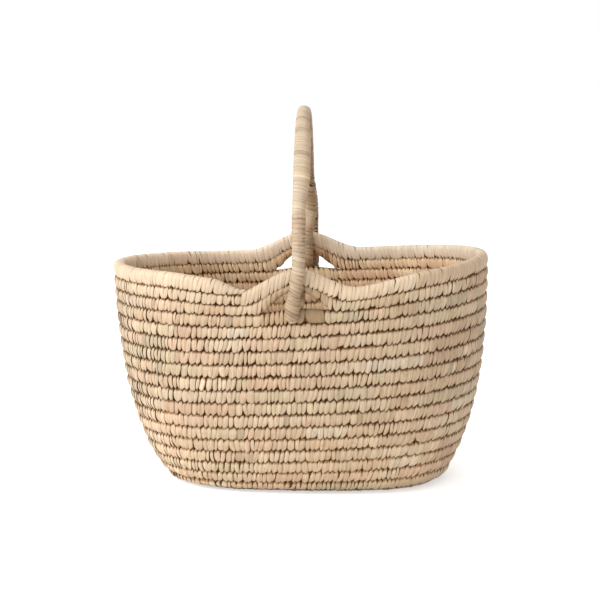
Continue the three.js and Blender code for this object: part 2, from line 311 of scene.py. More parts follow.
class Builder:
    """Gathers grids of points, each with a colour, a strip coordinate and a material, into one mesh."""

    def __init__(self):
        self.parts = []
        self.count = 0

    def grids(self, points, tint, strip, material=0, closed=False):
        """points is (grids, rows, columns, 3); tint and strip fit it."""
        number, rows, columns = points.shape[:3]
        index = np.arange(rows * columns).reshape(rows, columns)
        if closed:
            index = np.concatenate([index, index[:, :1]], axis=1)
        quads = stack(index[:-1, :-1], index[:-1, 1:], index[1:, 1:], index[1:, :-1]).reshape(-1, 4)
        offsets = self.count + np.arange(number) * rows * columns
        self.parts.append((
            points.reshape(-1, 3),
            (quads[None] + offsets[:, None, None]).reshape(-1, 4),
            np.broadcast_to(tint, points.shape).reshape(-1, 3),
            np.broadcast_to(strip, points.shape[:3] + (2,)).reshape(-1, 2),
            np.full(number * len(quads), material),
        ))
        self.count += number * rows * columns

    def core(self, points, angles, runs):
        """A closed tube of grass, given by rings of points."""
        strip = stack(angles[None] * STEM_SPREAD, runs[:, None])
        self.grids(points[None], CORE_TINT, strip[None], 1, closed=True)

    def build(self, prefix, node, surface, body):
        """Makes the piece that stands for a node."""
        points, faces, tints, strips, materials = map(np.concatenate, zip(*self.parts))
        points[:, 2] = np.maximum(points[:, 2], 0.0)
        mesh = bpy.data.meshes.new(prefix + node)
        mesh.vertices.add(len(points))
        mesh.vertices.foreach_set("co", flat(points * MILLIMETRE))
        mesh.loops.add(faces.size)
        mesh.loops.foreach_set("vertex_index", flat(faces, np.int32))
        mesh.polygons.add(len(faces))
        mesh.polygons.foreach_set("loop_start", np.arange(0, faces.size, 4, dtype=np.int32))
        mesh.polygons.foreach_set("material_index", flat(materials, np.int32))
        mesh.update(calc_edges=True)
        tint = mesh.color_attributes.new("tint", "FLOAT_COLOR", "POINT")
        tint.data.foreach_set("color", flat(np.pad(tints, ((0, 0), (0, 1)), constant_values=1)))
        mesh.uv_layers.new(name="strip").data.foreach_set("uv", flat(strips[faces.ravel()]))
        mesh.validate()
        mesh.shade_smooth()
        for material in (surface, core):
            mesh.materials.append(material)
        piece = add_object(prefix + node, mesh)
        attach(piece, body)
        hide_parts(node)


# Materials

def fill(tree, node, inputs):
    """Links a node's inputs to other nodes' outputs, or sets them to numbers and colours."""
    for key, value in inputs.items():
        if isinstance(value, (int, float, tuple)):
            node.inputs[key].default_value = value
        else:
            tree.links.new(value, node.inputs[key])


def add_node(tree, kind, inputs, **values):
    node = tree.nodes.new(kind)
    for key, value in values.items():
        setattr(node, key, value)
    fill(tree, node, inputs)
    return node


def maths(tree, operation, a, b):
    return add_node(tree, "ShaderNodeMath", {0: a, 1: b}, operation=operation).outputs[0]


def multiply(tree, factor, a, b):
    inputs = {"Factor": factor, 6: a, 7: b}
    return add_node(tree, "ShaderNodeMix", inputs, data_type="RGBA", blend_type="MULTIPLY").outputs[2]


def noise(tree, vector, scale, detail, roughness):
    inputs = {"Vector": vector, "Scale": scale, "Detail": detail, "Roughness": roughness}
    return add_node(tree, "ShaderNodeTexNoise", inputs).outputs["Fac"]


def span(tree, value, low, high, start, end):
    inputs = {"Value": value, "From Min": low, "From Max": high, "To Min": start, "To Max": end}
    return add_node(tree, "ShaderNodeMapRange", inputs).outputs["Result"]


def relief(tree, height, strength, distance):
    inputs = {"Height": height, "Strength": strength, "Distance": distance}
    return add_node(tree, "ShaderNodeBump", inputs).outputs["Normal"]


def shaded(tree, shade):
    """The strip's own tint, lighter or darker by a number."""
    tint = add_node(tree, "ShaderNodeAttribute", {}, attribute_name="tint").outputs["Color"]
    grey = add_node(tree, "ShaderNodeCombineColor", {0: shade, 1: shade, 2: shade})
    return multiply(tree, 1.0, tint, grey.outputs[0])


def strip_material(name, stretched):
    """A new material, its shader, and the strip's coordinates stretched along its fibres."""
    material = bpy.data.materials.new(name)
    material.use_nodes = True
    tree = material.node_tree
    strip = add_node(tree, "ShaderNodeUVMap", {}, uv_map="strip").outputs["UV"]
    stretch = add_node(tree, "ShaderNodeMapping", {"Vector": strip, "Scale": (1.0, stretched, 1.0)})
    return material, tree, tree.nodes["Principled BSDF"], stretch.outputs["Vector"]


STAIN_TONE = (0.62, 0.45, 0.28, 1)
WARM_TONE = (0.86, 0.74, 0.6, 1)


def leaf_material(name, grain, stain, roughness, bump):
    """A dried palm leaf strip: its tint, fibres, faint stains and a waxy, dull surface."""
    material, tree, shader, strip = strip_material(name, 0.045)
    place = add_node(tree, "ShaderNodeTexCoord", {}).outputs["Object"]
    fibres = noise(tree, strip, 2.6, 4.0, 0.62)
    veins = noise(tree, strip, 0.9, 2.0, 0.5)
    blotches = noise(tree, place, 120.0, 4.0, 0.6)
    patches = noise(tree, place, 22.0, 3.0, 0.55)
    dark = span(tree, fibres, 0.38, 0.66, 1.0 - grain, 1.0 + grain * 0.45)
    light = span(tree, veins, 0.35, 0.65, 1.0 - grain * 0.5, 1.0 + grain * 0.3)
    colour = shaded(tree, maths(tree, "MULTIPLY", dark, light))
    colour = multiply(tree, span(tree, blotches, 0.56, 0.8, 0.0, stain), colour, STAIN_TONE)
    colour = multiply(tree, span(tree, patches, 0.45, 0.75, 0.0, stain * 0.6), colour, WARM_TONE)
    height = maths(tree, "ADD", fibres, maths(tree, "MULTIPLY", blotches, 0.5))
    fill(tree, shader, {
        "Base Color": colour, "Specular IOR Level": 0.5,
        "Roughness": span(tree, fibres, 0.3, 0.7, roughness + 0.08, roughness - 0.08),
        "Normal": relief(tree, height, bump, 0.0004),
    })
    return material


def core_material():
    """The bundle of brown grass stems inside the coil, seen between the stitches."""
    material, tree, shader, strip = strip_material("grass_core", 0.06)
    stems = noise(tree, strip, 1.6, 3.0, 0.6)
    fill(tree, shader, {
        "Base Color": shaded(tree, span(tree, stems, 0.35, 0.68, 0.45, 1.5)), "Roughness": 0.9,
        "Specular IOR Level": 0.2, "Normal": relief(tree, stems, 0.8, 0.0006),
    })
    return material


leaf = leaf_material("palm_leaf", 0.26, 0.5, 0.62, 0.55)
pale_leaf = leaf_material("pale_palm_leaf", 0.14, 0.3, 0.58, 0.35)
wrap_leaf = leaf_material("wrap_palm_leaf", 0.18, 0.4, 0.6, 0.4)
core = core_material()


def srgb(values):
    values = np.array(values, float) / 255
    return np.where(values <= 0.04045, values / 12.92, ((values + 0.055) / 1.055) ** 2.4)


def palette(leaves, spread, tone):
    """Tints and weights: each leaf's colour, nearer to the mean and toned, and its share."""
    leaves = np.array(leaves)
    tints, weights = srgb(leaves[:, :3]), leaves[:, 3]
    return mix(weights @ tints, tints, spread) * tone, weights


CORE_TINT = srgb((96, 63, 29))
LEAF_TINTS, LEAF_WEIGHTS = palette([
    (228, 204, 172, 0.2), (220, 192, 158, 0.22), (224, 189, 157, 0.18), (211, 180, 144, 0.14),
    (218, 199, 162, 0.08), (199, 182, 150, 0.06), (206, 168, 134, 0.08), (236, 220, 194, 0.04),
], 0.55, (0.845, 0.845, 0.85))
PALE_TINTS, PALE_WEIGHTS = palette([
    (203, 186, 162, 0.3), (199, 178, 151, 0.35), (194, 170, 142, 0.2), (208, 194, 172, 0.15),
], 0.35, (0.92, 0.88, 0.84))
RIM_TINTS, RIM_WEIGHTS = palette([
    (215, 194, 168, 0.3), (212, 186, 156, 0.3), (205, 178, 148, 0.25), (220, 201, 177, 0.15),
], 0.6, (1, 0.98, 0.95))
# How the tone differs from leaf to leaf, that of the odd stitches, and the limits of every tint
LEAF_TONES = (0.94, 1.05)
ODD_TONES = (0.7, 1.25)
TINT_LIMITS = (0.02, 0.92)


def tints_in_runs(rng, number, style):
    """One colour for each stitch: runs of stitches are cut from one leaf, and a few are odd."""
    colours = np.zeros((number, 3))
    i = 0
    while i < number:
        length = int(rng.integers(*style["run"]))
        tint = style["tints"][rng.choice(len(style["tints"]), p=style["weights"])]
        colours[i : i + length] = tint * rng.uniform(*LEAF_TONES)
        i += length
    colours *= 1 + rng.normal(0, style["tone"], (number, 1))
    odds = rng.random(number) < style["odd"]
    colours[odds] *= rng.uniform(*ODD_TONES, (odds.sum(), 1))
    return np.clip(colours, *TINT_LIMITS)


# Each leaf strip is a grid: columns across the strip, rows along it round the coil. The wall's
# stitches are sewn through the coil below, and those over the slots go right round.

SEWN = np.array([
    (0.66, -1.32), (0.78, -1.24), (0.85, -1.14), (0.895, -1.03), (0.935, -0.91), (0.975, -0.74),
    (1.015, -0.46), (1.03, -0.12), (1.02, 0.2), (0.975, 0.46), (0.89, 0.68), (0.72, 0.87), (0.42, 0.98),
])
SEWN = np.concatenate([SEWN, [(0.0, 1.01)], SEWN[::-1] * (-1, 1)])
ROW_OUT, ROW_UP = SEWN.T
ALONG = lengths_along(SEWN) * HALF
FREE_OUT, FREE_UP = squared(np.radians(np.linspace(-115, 295, len(SEWN))), 2.3).T
# For each row: how much it narrows to the stitch's point and top, its share in the groove's painted shade,
# of the slanting cut, of the low end and of the outside, and how much it swells
POINT_AT = [-1.32, -1.24, -1.14, -1.03, -0.91, -0.74, -0.4]
POINT = np.interp(ROW_UP, POINT_AT, [0.92, 0.55, 0.3, 0.16, 0.08, 0.03, 0.0])
TOP = np.interp(ROW_UP, [0.2, 0.46, 0.68, 0.87, 1.0], [0.0, 0.1, 0.24, 0.4, 0.5])
SHADE = np.interp(ROW_UP, [-1.32, -1.24, -1.14, -1.0], [1.0, 0.6, 0.15, 0.0])
CUT = np.interp(ROW_UP, [-1.2, -0.8], [1.0, 0.0])
LOW = np.interp(ROW_UP, [-1.0, -0.3], [1.0, 0.0])
OUTER = np.interp(ROW_OUT, [-0.2, 0.2], [0.0, 1.0])
SWELL = mix(0.35, 1, np.clip(4 - np.abs(np.linspace(-4, 4, len(SEWN))), 0, 1))
U = np.linspace(-1, 1, 7)

# How fast red, green and blue fade in the shade painted into the tint: in grooves, at strips' edges, under
# the arch
DARK_POWERS = np.array([0.79, 1.06, 1.55])
# How far aside a stitch's tip lies, for its slant
TIP_DROP = 1.2
# Outside, the rounds are rounder in section towards both ends of the oval, most at the left
ROUND_OUT = 0.02
ROUND_IN = 0.2
ROUNDER = (0.35, 0.6)
RIGHT_END = (100, 170)
LEFT_END = (90, 165)
# How much closer the stitches are at the left end, and how much less shade is painted at their edges
LEFT_CLOSE = 0.06
LEFT_SOFT = 0.4
# More widths are drawn than fill a round, and kept between two shares of the usual one
DRAWS = 1.6
MORE_DRAWS = 4
NARROWEST = 0.55
WIDEST = 1.75
# How far stitches differ in slant, cut, bulge and narrowing at the top, and the tightest
SLANT_SPREAD = 0.3
CUT_SPREAD = 0.08
BULGE_SPREAD = 0.2
TOP_SPREAD = (0.3, 1.4)
MOST_TIGHT = 1.06
# Looser stretches: the lengths of their waves and how fast they loosen. Slits: their widths
LOOSE_WAVES = (9.0, 23.0, 51.0, 87.0)
LOOSENING = 0.35
SLITS = (0.1, 0.25)
# How much more pointed a narrow stitch is at most, how much a row narrows at most, and the share
# of the bulge that goes upwards
MOST_POINTED = 1.2
MOST_NARROWED = 0.95
UPWARD = 0.5
# The edge of the shade painted under the next round: zigzag inside, arched outside, lower at a strip's sides,
# and higher on the rounder rounds
ZIGZAG = 0.36
ZIGZAG_DROP = 0.16
ARCHED = 0.2
SIDE_DROP = 0.08
ROUND_LIFT = 0.06
HIDDEN_AT = [0.5, 0.61, 0.72]
HIDDEN_SHADE = [0.0, 0.8, 1.0]
# How strong the painted shade in the grooves and at the strips' edges is inside
INNER_GROOVE = 0.86
INNER_EDGE = 0.5
# How far strips keep from a round's end, and the rings that close the rim's tip
END_GAP = 0.15
CAP_RINGS = np.array([0.95, 0.57, 0.019])
# The length of leaf that the strips are cut from
LEAF_SPAN = 400


def crown(u):
    return 1 - np.abs(u) ** 2.2


def stitch_widths(rng, length, width, spread):
    widths = width * np.exp(rng.normal(0, spread, int(length / width * DRAWS) + MORE_DRAWS))
    widths = np.clip(widths, NARROWEST * width, WIDEST * width)
    number = int(np.searchsorted(np.cumsum(widths), length))
    widths = widths[: max(1, number)]
    return widths * length / widths.sum()


def strip_places(rng, widths, u, along):
    """The place of each strip on its leaf, so that no two have the same fibres."""
    offset = rng.uniform(0, LEAF_SPAN, (len(widths), 2))
    across = offset[:, :1] + u * widths[:, None] / 2
    return stack(across[:, None, :], (offset[:, 1:] + along)[:, :, None])


SEAM_SHIFTS = {-BASE_ROUNDS: 0.0, WALL_ROUNDS - 1: -4.0, WALL_ROUNDS: 0.0}
SEAM_SWAY = 4.5
SEAM_STEP = 2.4


def seam_shift(index):
    """How far past the seam the stitches of one round give way to those of the next."""
    return SEAM_SHIFTS.get(index, SEAM_SWAY * math.sin(SEAM_STEP * index + 1.0))


def lay_stitches(coil, rng, style):
    """The stitches' widths, tightness, slant, tone, places and wander, by the zones of the style."""
    plain = {"tight": (style["tight"], MOST_TIGHT), "tone": (1.0, 1.0, 1.0)}
    plain |= {key: style[key] for key in ("width", "spread", "slant")}
    first = seam_shift(coil.index)
    reached = first
    stretches = []
    for left, right, change in style.get("zones", ()):
        low, high = coil.run_at(left), coil.run_at(right)
        stretches += [(low - reached, plain), (high - low, plain | change)]
        reached = high
    stretches.append((coil.length + seam_shift(coil.index + 1) - reached, plain))
    laid = []
    for length, kind in stretches:
        if length > 0:
            widths = stitch_widths(rng, length, kind["width"], kind["spread"])
            number = len(widths)
            tight = rng.uniform(*kind["tight"], number)
            laid.append((widths, tight, np.full(number, kind["slant"]), np.tile(kind["tone"], (number, 1))))
    widths, tight, slant, tone = map(np.concatenate, zip(*laid))
    slant = slant * (1 + rng.normal(0, SLANT_SPREAD, len(widths)))
    wander = rng.normal(0, style["wander"], len(widths))
    return widths, tight, slant, tone, first + np.cumsum(widths) - widths / 2, wander


def under_tips(coil, above, laid, run):
    """How far each place on a round is from the tip of the stitch over it, from -1 to 1."""
    _, _, slant, _, starts, wander = laid
    tips = np.sort(starts - TIP_DROP * (slant + wander))
    borders = (tips[1:] + tips[:-1]) / 2
    over = np.interp(np.interp(run, coil.run, coil.share), above.share, above.run)
    nearest = np.searchsorted(borders, over)
    before, after = 2 * borders[0] - borders[1], 2 * borders[-1] - borders[-2]
    halves = np.diff(borders, prepend=before, append=after) / 2
    return np.clip((over - tips[nearest]) / np.maximum(halves[nearest], 1), -1, 1)


# The rim's painted light along its far side and painted shade over the front arch, and where they begin and
# are full
FAR_LIGHT_TONES = np.array([[1.24, 1.28, 1.38], [1.05, 1.12, 1.21]])
FAR_RUN = (-100, 60)
FAR_SIDE = (-110, 110)
ARCH_SHADE = 0.86
ARCH_LEFT = (-90, -50)
ARCH_RIGHT = (-10, 30)
RIM_START = (-5, 30)


def rim_colours(colours, middles, starts):
    """Painted light pales the rim behind, painted shade darkens it over the front arch; at its start it has
    the wall's colour.
    """
    x, y = middles[:, :1], middles[:, 1:2]
    over_arch = ease(x, *ARCH_LEFT) * (1 - ease(x, *ARCH_RIGHT))
    far = mix(*FAR_LIGHT_TONES, ease(x, *FAR_RUN))
    changed = colours * mix(mix(1, ARCH_SHADE, over_arch), far, ease(y, *FAR_SIDE))
    return mix(LEAF_WEIGHTS @ LEAF_TINTS, changed, ease(starts, *RIM_START)[:, None])


def coil_stitches(coil, builder, rng, style, laid, above):
    """The stitches of a round: first their paths and widths, then their relief and their tints."""
    widths, tight, slant, tone, starts, wander = laid
    number = len(widths)
    is_rim = coil.index == WALL_ROUNDS - 1
    free = coil.sample(coil.free, starts)[:, None]
    middles = coil.sample(coil.centre, starts)
    left = ease(-middles[:, 0], *LEFT_END)
    rounder = np.maximum(mix(*ROUNDER, ease(middles[:, 0], *RIGHT_END)), left)[:, None]
    shown = 1 + rounder * (ROUND_OUT - ROUND_IN * ROW_UP**2) * (ROW_OUT > 0)
    path_out = mix(ROW_OUT * shown, FREE_OUT, free)
    path_up = mix(ROW_UP, FREE_UP, free)
    phase = rng.uniform(0, 2 * np.pi, len(LOOSE_WAVES))
    wave = sum(np.sin(starts / length + phase[k]) for k, length in enumerate(LOOSE_WAVES))
    loose = np.clip((wave - style["loose_from"]) * LOOSENING, 0, style["loose"])
    loose = np.maximum(loose, np.where(rng.random(number) < style["slits"], rng.uniform(*SLITS, number), 0))
    tight = tight * (1 - loose) + LEFT_CLOSE * left
    sharp = rng.uniform(*style["point"], number)[:, None]
    blunt = style["top"] * rng.uniform(*TOP_SPREAD, number)[:, None]
    short = np.minimum(MOST_POINTED, style["width"] / widths)[:, None]
    narrow = 1 - np.clip((POINT * sharp + TOP * blunt) * short, 0, MOST_NARROWED)
    width = (widths * tight / 2)[:, None] * mix(narrow, 1, free)
    up = path_up * (1 + rng.normal(0, style["ragged"], number)[:, None] * (path_up < 0))
    cut = rng.normal(style["cut"], CUT_SPREAD, number)[:, None] * CUT * (1 - free)
    lean = slant[:, None] * up + wander[:, None] * np.minimum(up, 0)
    run = (starts[:, None] + lean)[:, :, None] + width[:, :, None] * U
    if coil.index == -BASE_ROUNDS:
        run = np.maximum(run, END_GAP)
    if is_rim:
        run = np.minimum(run, coil.length - END_GAP)

    half = np.linalg.norm(coil.sample(coil.out, starts), axis=1)
    bulge = style["bulge"] * (1 + rng.normal(0, BULGE_SPREAD, number))
    lift = rng.normal(0, style["lift"], number)
    tilt = rng.normal(style["shingle"], style["lift"], number)
    proud = bulge[:, None] * crown(U) + lift[:, None] + tilt[:, None] * U - style["inset"]
    swell = (proud / half[:, None])[:, None, :] * SWELL[:, None]
    taller = 1 + swell * (UPWARD * np.minimum(1, np.abs(path_up)))[:, :, None]
    height = up[:, :, None] * taller + cut[:, :, None] * U
    points = coil.place(run, path_out[:, :, None] * (1 + swell), height)

    colours = tints_in_runs(rng, number, style)
    # left_light is painted light on the heel's left; a zone's tone on the sill under the slot is painted
    # shade
    colours *= tone * (1 + style.get("left_light", 0) * left[:, None])
    if is_rim:
        colours = rim_colours(colours, middles, starts)
    outer = OUTER[:, None]
    free = free[:, :, None]
    # Painted shade: the lower round's top under the next round's tips, and the tips themselves, are darkened
    # in the tint
    away = under_tips(coil, *above, run) if above else np.zeros(run.shape)
    zigzag = mix(ZIGZAG * np.abs(2 * np.abs(away) - 1) - ZIGZAG_DROP, ARCHED * away**2, outer)
    deep = ROW_UP[:, None] + SIDE_DROP * U**2 - zigzag
    deep = deep + rng.normal(0, style["jagged"], (number, 1, 1)) - ROUND_LIFT * rounder[:, :, None]
    covered = style["top"] * (1 - coil.sample(coil.bare, starts))[:, None, None]
    dark = np.maximum(SHADE[:, None], np.interp(deep, HIDDEN_AT, HIDDEN_SHADE) * covered)
    groove = 1 - style["groove"] * mix(INNER_GROOVE, 1, outer) * dark * (1 - free)
    # Painted shade at each strip's edges, where it meets the next: stronger towards the low end, weaker
    # inside and at the left end
    ends = mix(style["ends"], 1, LOW)[:, None] * mix(INNER_EDGE, 1, outer)
    edges = 1 - style["edge"] * (1 - LEFT_SOFT * left[:, None, None]) * ends * np.abs(U) ** 3
    # Painted shade: the slot round is darker where it goes right round under the arch
    under = 1 - style.get("under", 0) * free
    # Painted bounce light: the inner side is lighter and warmer
    inside = mix(style["inside"], 1, outer[..., None])
    tint = colours[:, None, None, :] * (groove * edges * under)[..., None] ** DARK_POWERS * inside
    strip = strip_places(rng, widths, U, ALONG)
    builder.grids(points, tint, strip)
    if is_rim:
        out, up = CAP_RINGS * ROW_OUT[:, None], CAP_RINGS * ROW_UP[:, None]
        cap = coil.place(np.full(out.shape, coil.length - END_GAP), out, up)
        builder.grids(cap[None], colours[-1], strip[-1:, :, : len(CAP_RINGS)])


# The core: its section, how far it reaches down to close the groove, its end gap and its ripples
CORE_SECTION = np.array([0.86, 0.95])
CORE_LOWER = 1.13
CORE_GAP = 0.3
RIPPLE = 0.02
RIPPLE_RUN = 5.3
RIPPLE_SPREAD = 0.01
# The size of the rings that close a core
CLOSED = 0.02


def core_runs(length, gap, number):
    """The runs of a core's rings, and their sizes: the first and the last close it."""
    runs = np.linspace(gap, length - gap, number)
    sizes = np.ones((number + 2, 1))
    sizes[[0, -1]] = CLOSED
    return np.concatenate([runs[:1], runs, runs[-1:]]), sizes


def coil_core(coil, builder, rng):
    """The grass bundle under the stitches, closed at both ends."""
    runs, sizes = core_runs(coil.length, CORE_GAP, max(40, int(coil.length / 4)))
    angles = ring(18)
    shape = squared(angles, 2.6) * CORE_SECTION
    wave = RIPPLE * np.sin(runs[:, None] / RIPPLE_RUN + 3 * angles)
    sizes = sizes * (1 + wave + rng.normal(0, RIPPLE_SPREAD, wave.shape))
    lower = mix(CORE_LOWER, 1, coil.sample(coil.free, runs))[:, None]
    up = shape[:, 1] * sizes * np.where(shape[:, 1] < -0.5, lower, 1)
    points = coil.place(np.broadcast_to(runs[:, None], up.shape), shape[:, 0] * sizes, up)
    builder.core(points, angles, runs)


# In a style, "groove", "edge" and "ends" set painted shade, and "inside" painted bounce light on the inner
# side
WALL_STYLE = {
    "width": 5.2, "spread": 0.2, "tight": 1.03, "slant": 1.1, "wander": 0.8,
    "loose": 0.16, "loose_from": 1.8, "slits": 0.08, "point": (0.8, 2.3), "top": 1.0,
    "bulge": 0.5, "lift": 0.18, "shingle": 0.2, "inset": 0.42,
    "groove": 0.88, "edge": 0.38, "ends": 0.25, "inside": np.array([1.24, 1.19, 1.12]),
    "ragged": 0.06, "jagged": 0.03, "cut": 0.08,
    "tints": LEAF_TINTS, "weights": LEAF_WEIGHTS, "run": (3, 12), "tone": 0.035, "odd": 0.04,
}
RIM_STYLE = WALL_STYLE | {
    "width": 4.4, "spread": 0.25, "tight": 1.0, "slant": 1.4, "wander": 0.3,
    "loose": 0.1, "slits": 0.02, "point": (0.4, 1.4), "top": 0.0,
    "bulge": 0.22, "lift": 0.05, "shingle": 0.06, "inset": 0.22,
    "edge": 0.32, "ends": 0.7, "inside": np.ones(3), "ragged": 0.05,
    "tints": RIM_TINTS, "weights": RIM_WEIGHTS, "run": (8, 26), "odd": 0.0,
    "zones": [(3.0, 36.0, {"width": 4.0, "tight": (0.96, 1.02), "slant": 1.8})],
}
# Its "under" is painted shade under the arch
SLOT_STYLE = WALL_STYLE | {
    "tight": 0.98, "under": 0.3, "zones": [(-32.0, 26.0, {"width": 9.0, "spread": 0.15})],
}
# The sill's darker tones under the slot, behind the tongue and right of it are painted shade of the arch and
# the handle
SILL_STYLE = WALL_STYLE | {"zones": [
    (-42.0, -14.0, {"width": 4.4, "tight": (0.9, 1.0), "slant": 0.4, "tone": (0.84, 0.77, 0.69)}),
    (-5.0, 2.5, {"width": 3.7, "tone": (0.76, 0.66, 0.56)}),
    (2.5, 22.5, {"width": 20.0, "tight": (0.92, 0.92), "slant": 0.2, "tone": (0.72, 0.6, 0.48)}),
]}
STYLES = {SILL_LEVEL - 1: SILL_STYLE, SILL_LEVEL: SLOT_STYLE, WALL_ROUNDS - 1: RIM_STYLE}
# Up to this level the rounds have softer painted shade in grooves and at edges, and stitches painted lighter
# as bounce light from the floor, most on the left,
HEEL_LEVEL = 7
HEEL_STYLE = {"groove": 0.6, "edge": 0.24}
HEEL_LIGHT = 1.17
HEEL_LEFT_LIGHT = 0.24
# and below this level the stitches lie deeper
DEEP_LEVEL = 2
DEEP_INSET = 0.95


def round_style(index):
    if index >= HEEL_LEVEL:
        return STYLES.get(index, WALL_STYLE)
    heel = 1 - max(index, 0) / HEEL_LEVEL
    softer = {key: mix(WALL_STYLE[key], value, heel) for key, value in HEEL_STYLE.items()}
    softer["tints"] = LEAF_TINTS * mix(1, HEEL_LIGHT, heel)
    softer["left_light"] = HEEL_LEFT_LIGHT * heel
    if index < DEEP_LEVEL:
        softer["inset"] = DEEP_INSET
    return WALL_STYLE | softer


coils = {index: Coil(index) for index in range(-BASE_ROUNDS, WALL_ROUNDS)}
layouts = {
    index: lay_stitches(coil, np.random.default_rng(700 + index), round_style(index))
    for index, coil in coils.items()
}


def coil_piece(name, index, seed, material=leaf):
    rng = np.random.default_rng(seed)
    builder = Builder()
    above = (coils[index + 1], layouts[index + 1]) if index < WALL_ROUNDS - 1 else None
    coil_stitches(coils[index], builder, rng, round_style(index), layouts[index], above)
    coil_core(coils[index], builder, rng)
    builder.build("stitched_", name, material, "bowl")


for i in range(BASE_ROUNDS):
    coil_piece(f"base_round_{i + 1}", i - BASE_ROUNDS, 100 + i)
for i in range(SILL_LEVEL):
    coil_piece(f"wall_round_{i + 1:02d}", i, 200 + i)
coil_piece("slot_round", SILL_LEVEL, 300)
coil_piece("rim_round", WALL_ROUNDS - 1, 301, pale_leaf)

# The start of the coil, a straight bundle in the middle of the base

START_STYLE = {
    "width": 5.4, "spread": 0.2, "tight": 0.98, "slant": 0.8, "bulge": 0.5, "inset": 0.65,
    "tints": LEAF_TINTS, "weights": LEAF_WEIGHTS, "run": (4, 14), "tone": 0.07, "odd": 0.05,
}
START_GAP = 0.4
# How far the fibres' pattern goes round, and how far it moves from stitch to stitch
FIBRE_ROUND = 8
FIBRE_STEP = 31
# The core's distance from the outline, its least half depth and its half height
START_CORE_IN = 1.2
START_CORE_LEAST = 0.1
START_CORE_HALF = 4.8


def base_start():
    rng = np.random.default_rng(90)
    builder = Builder()
    style = START_STYLE
    share = np.linspace(0, 1, 721)
    reach = meridian(share - BASE_ROUNDS)[0] - TOUCH / 2
    outline = on_bowl(station_angle(share), reach, HALF)
    outline = outline[np.argsort(outline[:, 0])]
    upper = outline[outline[:, 1] >= 0].T
    lower = outline[outline[:, 1] < 0].T
    left = outline[0, 0] + START_GAP
    right = outline[-1, 0] - START_GAP
    widths = stitch_widths(rng, right - left, style["width"], style["spread"])
    starts = (left + np.cumsum(widths) - widths / 2)[:, None, None]
    turn = np.linspace(0, 2 * np.pi, 29)[:, None]
    across = (widths * style["tight"] / 2)[:, None, None] * U
    x = np.clip(starts + across + style["slant"] * np.sin(turn), left, right)
    top = np.interp(x, upper[0], upper[1])
    bottom = np.interp(x, lower[0], lower[1])
    proud = style["bulge"] * crown(U) - style["inset"]
    round_y, round_z = np.moveaxis(squared(turn, 2.5), -1, 0)
    y = (top + bottom) / 2 + ((top - bottom) / 2 + proud) * round_y
    z = HALF + (HALF + proud) * round_z
    colours = tints_in_runs(rng, len(widths), style)
    strip = stack(x, turn * FIBRE_ROUND + starts * FIBRE_STEP)
    builder.grids(stack(x, y, z), colours[:, None, None, :], strip)
    runs = np.linspace(left, right, 40)
    high = np.interp(runs, upper[0], upper[1])[:, None]
    low = np.interp(runs, lower[0], lower[1])[:, None]
    angles = ring(24)
    half = np.maximum((high - low) / 2 - START_CORE_IN, START_CORE_LEAST)
    y = (high + low) / 2 + half * np.cos(angles)
    builder.core(stack(runs[:, None], y, HALF + START_CORE_HALF * np.sin(angles)), angles, runs)
    builder.build("stitched_", "base_start", leaf, "bowl")


base_start()

# The handle, from the same places as in the CAD source

def slot_place(side):
    angle = np.array(side * np.pi / 2)
    share = (SEAM_LEFT / TURN + (0 if side < 0 else 0.5)) % 1
    top = float(on_bowl(angle, *meridian(SILL_LEVEL + share)[:2])[2])
    wall = CORE_DEPTH + float(meridian(SILL_LEVEL + share + 0.5)[0])
    arch = float(on_bowl(angle, *edge(WALL_ROUNDS, share, angle, True)[:2])[2])
    return {"side": side, "wall": wall, "pivot": top + TOUCH + STRAND_DEPTH / 2, "arch": arch}


front = slot_place(-1)
back = slot_place(1)


def leg_out(slot):
    return slot["wall"] + HALF + SWING + TOUCH + WRAP + LEG_DEPTH / 2


HOOP_HALF = (leg_out(front) + leg_out(back)) / 2
HOOP_FOOT = (front["pivot"] + back["pivot"]) / 2 + HOOP_SPRING
HOOP_RISE = HANDLE_TOP - LEG_DEPTH / 2 - HOOP_FOOT


def fullness(slot, z):
    """How much wider the bundle is between the strand's end and the top of the hoop."""
    rise = z - slot["pivot"]
    return FULLER * float(ease(rise, *FULLER_RISES[:2]) - ease(rise, *FULLER_RISES[2:]))


def handle_x(slot, z):
    """The handle wanders: its front foot to the left, its back leg to the right."""
    up = z - slot["pivot"]
    middle = HANDLE_X - slot["side"] * fullness(slot, z) / 2
    if slot["side"] > 0:
        return middle + BACK_DRIFT * float(ease(-up, -BACK_DRIFT_TOP, -BACK_DRIFT_END))
    return middle - TONGUE_DRIFT * float(ease(-up, -TONGUE_DRIFT_TOP, TONGUE_DROP))


def leg_centre(slot, z):
    return np.array([handle_x(slot, z), slot["side"] * leg_out(slot), z])


def bundle_at(slot, z):
    if z <= HOOP_FOOT:
        return leg_centre(slot, z)
    up = (z - HOOP_FOOT) / HOOP_RISE
    return np.array([handle_x(slot, z), slot["side"] * HOOP_HALF * math.sqrt(max(0.0, 1 - up * up)), z])


def behind_bundle(slot, z, distance):
    run = bundle_at(slot, z + TOUCH) - bundle_at(slot, z - TOUCH)
    run /= np.linalg.norm(run)
    inward = np.array([0, -slot["side"] * run[2], slot["side"] * run[1]])
    return bundle_at(slot, z) + distance * inward


# The places to each side that a path is averaged over, and the half width from which the strips
# have their full relief
SMOOTH = 4
FULL_RELIEF = 6


